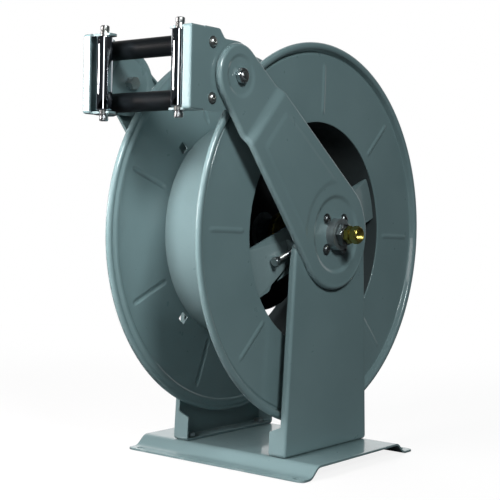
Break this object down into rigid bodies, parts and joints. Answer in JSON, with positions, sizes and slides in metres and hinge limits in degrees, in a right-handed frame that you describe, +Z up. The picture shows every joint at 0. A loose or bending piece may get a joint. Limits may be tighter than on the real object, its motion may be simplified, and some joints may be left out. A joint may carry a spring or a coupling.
{
  "type": "spring-driven hose reel",
  "caption": "Spring-driven hose reel with an open drum between pedestals on a base plate, swinging guide arms, a roller mouth and a side water inlet.",
  "frame": {"origin": "bottom middle of the bounding box, on the floor", "axes": "+Z up, +X along the axle towards the inlet, -Y towards the mouth"},
  "size_m": [0.32, 0.5794, 0.6003],
  "materials": {
    "grey_enamel": "gloss enamel",
    "zinc_plate": "bright zinc plate",
    "steel": "bare turned steel",
    "chrome": "polished",
    "black_plastic": "satin",
    "brass": "turned",
    "rubber": "matt"
  },
  "bodies": {
    "frame": {"base_plate": "grey_enamel", "pedestal_near": "grey_enamel", "pedestal_far": "grey_enamel", "base_bolt_near_front": "zinc_plate", "base_bolt_near_rear": "zinc_plate", "base_bolt_far_front": "zinc_plate", "base_bolt_far_rear": "zinc_plate", "axle_flange_near": "steel", "axle_flange_far": "steel", "axle": "steel", "ratchet_wheel": "steel", "axle_spacer": "steel", "inlet_fitting": "brass", "lock_nut_near": "zinc_plate", "lock_nut_far": "zinc_plate", "spring_arbor": "steel", "power_spring": "steel"},
    "drum": {"disc_near": "grey_enamel", "disc_far": "grey_enamel", "barrel": "grey_enamel", "spider_near": "grey_enamel", "spider_far": "grey_enamel", "hub_near": "steel", "hub_far": "steel", "bearing_near": "zinc_plate", "bearing_far": "zinc_plate", "pawl_pin": "steel", "pawl_spring": "steel", "spring_case": "zinc_plate", "spring_cover": "zinc_plate", "swivel_body": "brass", "swivel_seal_near": "rubber", "swivel_seal_far": "rubber", "outlet_pipe": "steel", "outlet_lock_nut": "steel", "clamp_lug": "grey_enamel", "clamp_bolt": "zinc_plate", "clamp_nut": "zinc_plate"},
    "pawl": {"pawl": "steel"},
    "arms": {"guide_arm_near": "grey_enamel", "guide_arm_far": "grey_enamel", "arm_hub_near": "steel", "arm_hub_far": "steel", "pivot_bolt_near": "zinc_plate", "pivot_bolt_far": "zinc_plate", "pivot_nut_near": "zinc_plate", "pivot_nut_far": "zinc_plate", "pivot_spacer_near": "zinc_plate", "pivot_spacer_far": "zinc_plate"},
    "head": {"head_plate_near": "grey_enamel", "head_plate_far": "grey_enamel", "side_roller_pin_near": "zinc_plate", "side_roller_pin_far": "zinc_plate", "cross_axle_upper": "steel", "cross_axle_lower": "steel"},
    "side_roller_near": {"side_roller_near": "chrome"},
    "side_roller_far": {"side_roller_far": "chrome"},
    "cross_roller_upper": {"cross_roller_upper": "black_plastic"},
    "cross_roller_lower": {"cross_roller_lower": "black_plastic"}
  },
  "joints": [
    {"name": "drum_spin", "type": "hinge", "parent": "frame", "child": "drum", "pos_m": [0, 0.01619, 0.3268], "axis": [1, 0, 0], "continuous": true},
    {"name": "pawl_lift", "type": "hinge", "parent": "drum", "child": "pawl", "pos_m": [0.002, 0.07445, 0.34801], "axis": [-1, 0, 0], "range_deg": [0, 14], "stiffness_Nm_per_rad": 0.1, "springref_deg": -17.19},
    {"name": "arm_swing", "type": "hinge", "parent": "frame", "child": "arms", "pos_m": [0, 0.01619, 0.3268], "axis": [1, 0, 0], "range_deg": [-90, 50]},
    {"name": "mouth_tilt", "type": "hinge", "parent": "arms", "child": "head", "pos_m": [0, -0.20068, 0.53045], "axis": [1, 0, 0], "range_deg": [-45, 20]},
    {"name": "side_roller_spin_near", "type": "hinge", "parent": "head", "child": "side_roller_near", "pos_m": [0.068, -0.27893, 0.53045], "axis": [0, 0, 1], "continuous": true},
    {"name": "side_roller_spin_far", "type": "hinge", "parent": "head", "child": "side_roller_far", "pos_m": [-0.064, -0.27893, 0.53045], "axis": [0, 0, 1], "continuous": true},
    {"name": "cross_roller_spin_upper", "type": "hinge", "parent": "head", "child": "cross_roller_upper", "pos_m": [0, -0.24718, 0.56845], "axis": [1, 0, 0], "continuous": true},
    {"name": "cross_roller_spin_lower", "type": "hinge", "parent": "head", "child": "cross_roller_lower", "pos_m": [0, -0.24718, 0.49845], "axis": [1, 0, 0], "continuous": true}
  ]
}
